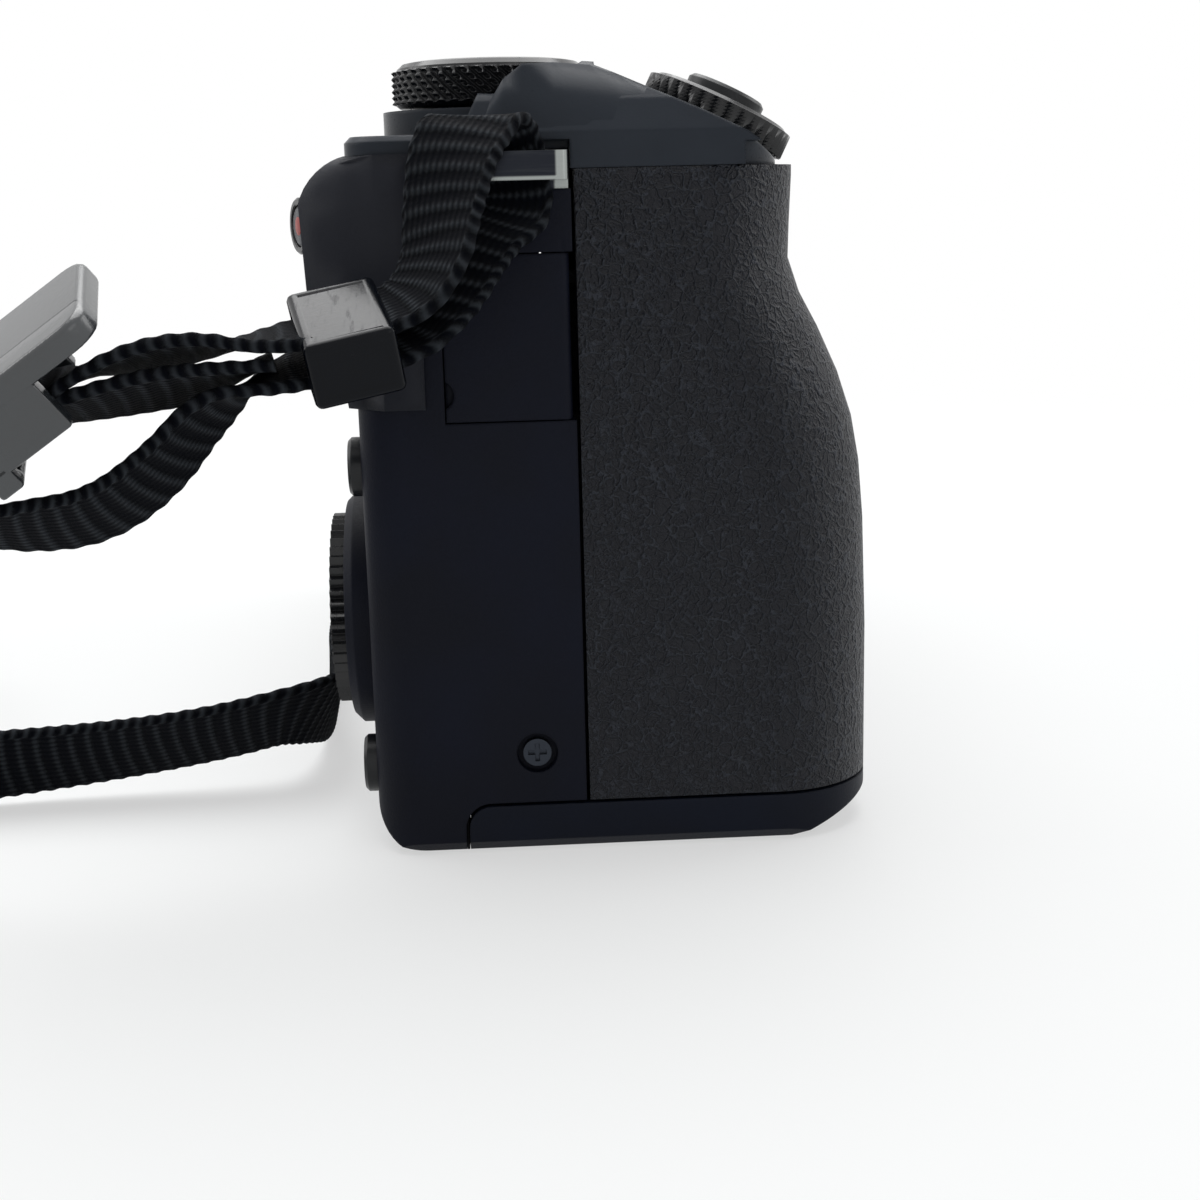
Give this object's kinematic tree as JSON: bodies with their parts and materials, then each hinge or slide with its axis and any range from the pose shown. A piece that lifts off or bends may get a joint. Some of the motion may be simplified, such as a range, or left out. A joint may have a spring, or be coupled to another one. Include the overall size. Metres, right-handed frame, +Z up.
{
  "type": "mirrorless camera",
  "caption": "Compact interchangeable-lens camera body with a hand grip, dials, tilting rear screen, pop-up flash, hot shoe and a narrow webbing neck strap, partly coiled.",
  "frame": {"origin": "mouth of the tripod socket, in the base plane under the lens axis", "axes": "+Z up, -Y out of the lens mount, +X along the body away from the grip"},
  "size_m": [0.1422, 0.1551, 0.0681],
  "materials": {
    "case_plastic": "fine matte blue-grey paint over moulded plastic",
    "top_plastic": "smooth satin blue-grey paint",
    "base_plastic": "matte dark grey",
    "grip_rubber": "fine-grained soft black rubber",
    "pad_rubber": "smooth matte rubber",
    "dial_black": "glossy black, machined knurl",
    "button_black": "semi-gloss black",
    "screen_frame": "satin black",
    "screen_glass": "clear cover glass over a black display",
    "filter_glass": "coated glass",
    "mount_steel": "turned stainless steel",
    "plate_steel": "stamped steel",
    "lug_steel": "polished steel",
    "screw_steel": "blackened steel",
    "brass_socket": "turned brass",
    "chassis_alloy": "cast alloy",
    "inner_black": "flat black",
    "board_green": "glass-fibre board with solder mask",
    "sensor_face": "coated chip",
    "battery_shell": "wrapped cell",
    "card_plastic": "moulded plastic",
    "capacitor_sleeve": "sleeved metal can",
    "flash_window": "ribbed clear plastic window",
    "curtain_steel": "blackened metal leaf",
    "webbing": "woven black webbing with looped edges",
    "keeper_plastic": "glossy black plastic",
    "buckle_plastic": "grained grey-black plastic"
  },
  "bodies": {
    "camera_body": {"rear_cover": "case_plastic", "front_cover": "case_plastic", "top_cover": "top_plastic", "base_plate": "base_plastic", "grip_rubber": "grip_rubber", "thumb_rest_pad": "pad_rubber", "tripod_socket": "brass_socket", "chassis": "chassis_alloy", "lens_mount_ring": "mount_steel", "mount_screws": "screw_steel", "mount_contact_block": "inner_black", "light_baffle": "inner_black", "shutter_plate": "plate_steel", "sensor_holder": "chassis_alloy", "sensor_filter_glass": "filter_glass", "image_sensor": "sensor_face", "main_circuit_board": "board_green", "battery_box": "inner_black", "battery": "battery_shell", "memory_card": "card_plastic", "flash_capacitor": "capacitor_sleeve", "port_block": "inner_black", "strap_lug_grip": "lug_steel", "strap_lug_far": "lug_steel", "case_screws": "screw_steel", "hot_shoe": "plate_steel", "hot_shoe_spring": "mount_steel", "strap_grip_webbing": "webbing", "strap_far_webbing": "webbing", "strap_coil": "webbing", "strap_keepers": "keeper_plastic", "strap_buckles": "buckle_plastic"},
    "battery_door": {"battery_door": "base_plastic"},
    "battery_door_latch": {"battery_door_latch": "button_black"},
    "terminal_cover": {"terminal_cover": "case_plastic"},
    "tilt_plate": {"lcd_tilt_plate": "plate_steel"},
    "screen": {"lcd_frame": "screen_frame", "lcd_glass": "screen_glass"},
    "gimbal": {"gimbal_ring": "plate_steel"},
    "rocker": {"rocker_plate": "plate_steel"},
    "rear_wheel": {"rear_wheel": "dial_black"},
    "set_button": {"set_button": "button_black"},
    "magnify_button": {"magnify_button": "button_black"},
    "menu_button": {"menu_button": "button_black"},
    "playback_button": {"playback_button": "button_black"},
    "info_button": {"info_button": "button_black"},
    "movie_button": {"movie_button": "button_black"},
    "exposure_dial": {"exposure_dial": "dial_black"},
    "mode_dial": {"mode_dial": "dial_black"},
    "main_dial": {"main_dial": "dial_black"},
    "shutter_button": {"shutter_button": "dial_black"},
    "power_button": {"power_button": "button_black"},
    "front_curtain": {"front_curtain": "curtain_steel"},
    "rear_curtain": {"rear_curtain": "curtain_steel"},
    "lens_release_button": {"lens_release_button": "button_black"},
    "lens_lock_pin": {"lens_lock_pin": "mount_steel"},
    "flash_arm": {"flash_arm": "top_plastic"},
    "flash_head": {"flash_head": "top_plastic", "flash_lens": "flash_window"},
    "flash_switch": {"flash_switch": "button_black"}
  },
  "joints": [
    {"name": "battery_door_hinge", "type": "hinge", "parent": "camera_body", "child": "battery_door", "pos_m": [-0.0383, 0, 0.00115], "axis": [0, -1, 0], "range_deg": [0, 90]},
    {"name": "battery_latch_slide", "type": "slide", "parent": "battery_door", "child": "battery_door_latch", "axis": [1, 0, 0], "range_m": [0, 0.0026]},
    {"name": "terminal_cover_hinge", "type": "hinge", "parent": "camera_body", "child": "terminal_cover", "pos_m": [-0.0639, 0.00185, 0.0452], "axis": [0, 0, 1], "range_deg": [0, 110]},
    {"name": "screen_tilt", "type": "hinge", "parent": "camera_body", "child": "tilt_plate", "pos_m": [0, 0.0175, 0.006], "axis": [-1, 0, 0], "range_deg": [0, 45]},
    {"name": "screen_flip", "type": "hinge", "parent": "tilt_plate", "child": "screen", "pos_m": [0, 0.019, 0.057], "axis": [1, 0, 0], "range_deg": [0, 180]},
    {"name": "rocker_pitch", "type": "hinge", "parent": "camera_body", "child": "gimbal", "pos_m": [-0.0486, 0.0155, 0.0192], "axis": [1, 0, 0], "range_deg": [-2, 2], "stiffness_Nm_per_rad": 0.06},
    {"name": "rocker_yaw", "type": "hinge", "parent": "gimbal", "child": "rocker", "pos_m": [-0.0486, 0.0155, 0.0192], "axis": [0, 0, 1], "range_deg": [-2, 2], "stiffness_Nm_per_rad": 0.06},
    {"name": "rear_wheel_spin", "type": "hinge", "parent": "rocker", "child": "rear_wheel", "pos_m": [-0.0486, 0.02, 0.0192], "axis": [0, 1, 0], "continuous": true},
    {"name": "set_press", "type": "slide", "parent": "rocker", "child": "set_button", "axis": [0, -1, 0], "range_m": [0, 0.0004], "stiffness_N_per_m": 300, "springref_m": -0.0005},
    {"name": "magnify_press", "type": "slide", "parent": "camera_body", "child": "magnify_button", "axis": [0, -1, 0], "range_m": [0, 0.0004], "stiffness_N_per_m": 300, "springref_m": -0.0005},
    {"name": "menu_press", "type": "slide", "parent": "camera_body", "child": "menu_button", "axis": [0, -1, 0], "range_m": [0, 0.0004], "stiffness_N_per_m": 300, "springref_m": -0.0005},
    {"name": "playback_press", "type": "slide", "parent": "camera_body", "child": "playback_button", "axis": [0, -1, 0], "range_m": [0, 0.0004], "stiffness_N_per_m": 300, "springref_m": -0.0005},
    {"name": "info_press", "type": "slide", "parent": "camera_body", "child": "info_button", "axis": [0, -1, 0], "range_m": [0, 0.0004], "stiffness_N_per_m": 300, "springref_m": -0.0005},
    {"name": "movie_press", "type": "slide", "parent": "camera_body", "child": "movie_button", "axis": [0.3907, -0.9205, 0], "range_m": [0, 0.0005], "stiffness_N_per_m": 300, "springref_m": -0.0005},
    {"name": "exposure_dial_turn", "type": "hinge", "parent": "camera_body", "child": "exposure_dial", "pos_m": [-0.0525, 0.0072, 0.066], "axis": [0, 0, 1], "range_deg": [-120, 120]},
    {"name": "mode_dial_turn", "type": "hinge", "parent": "camera_body", "child": "mode_dial", "pos_m": [-0.027, 0.004, 0.066], "axis": [0, 0, 1], "continuous": true},
    {"name": "main_dial_turn", "type": "hinge", "parent": "camera_body", "child": "main_dial", "pos_m": [-0.049, -0.01354, 0.06454], "axis": [0, -0.4337, 0.9011], "continuous": true},
    {"name": "shutter_press", "type": "slide", "parent": "camera_body", "child": "shutter_button", "axis": [0, 0.4337, -0.9011], "range_m": [0, 0.0012], "stiffness_N_per_m": 250, "springref_m": -0.0005},
    {"name": "power_press", "type": "slide", "parent": "camera_body", "child": "power_button", "axis": [0, 0, -1], "range_m": [0, 0.0005], "stiffness_N_per_m": 300, "springref_m": -0.0005},
    {"name": "front_curtain_travel", "type": "slide", "parent": "camera_body", "child": "front_curtain", "axis": [0, 0, 1], "range_m": [0, 0.017]},
    {"name": "rear_curtain_travel", "type": "slide", "parent": "camera_body", "child": "rear_curtain", "axis": [0, 0, -1], "range_m": [0, 0.017], "stiffness_N_per_m": 5, "springref_m": -0.005},
    {"name": "lens_release_press", "type": "slide", "parent": "camera_body", "child": "lens_release_button", "axis": [0, 1, 0], "range_m": [0, 0.0015], "stiffness_N_per_m": 250, "springref_m": -0.0005},
    {"name": "lens_lock_pin_travel", "type": "slide", "parent": "camera_body", "child": "lens_lock_pin", "axis": [0, 1, 0], "range_m": [0, 0.0015]},
    {"name": "flash_raise", "type": "hinge", "parent": "camera_body", "child": "flash_arm", "pos_m": [0.027, 0.006, 0.0602], "axis": [-1, 0, 0], "range_deg": [0, 57]},
    {"name": "flash_level", "type": "hinge", "parent": "flash_arm", "child": "flash_head", "pos_m": [0.027, -0.006, 0.0602], "axis": [-1, 0, 0], "range_deg": [-57, 0]},
    {"name": "flash_switch_slide", "type": "slide", "parent": "camera_body", "child": "flash_switch", "axis": [1, 0, 0], "range_m": [0, 0.0025], "stiffness_N_per_m": 200, "springref_m": -0.0005}
  ],
  "couplings": [
    {"joint": "lens_lock_pin_travel", "follows": "lens_release_press", "ratio": 1},
    {"joint": "flash_level", "follows": "flash_raise", "ratio": -1}
  ]
}
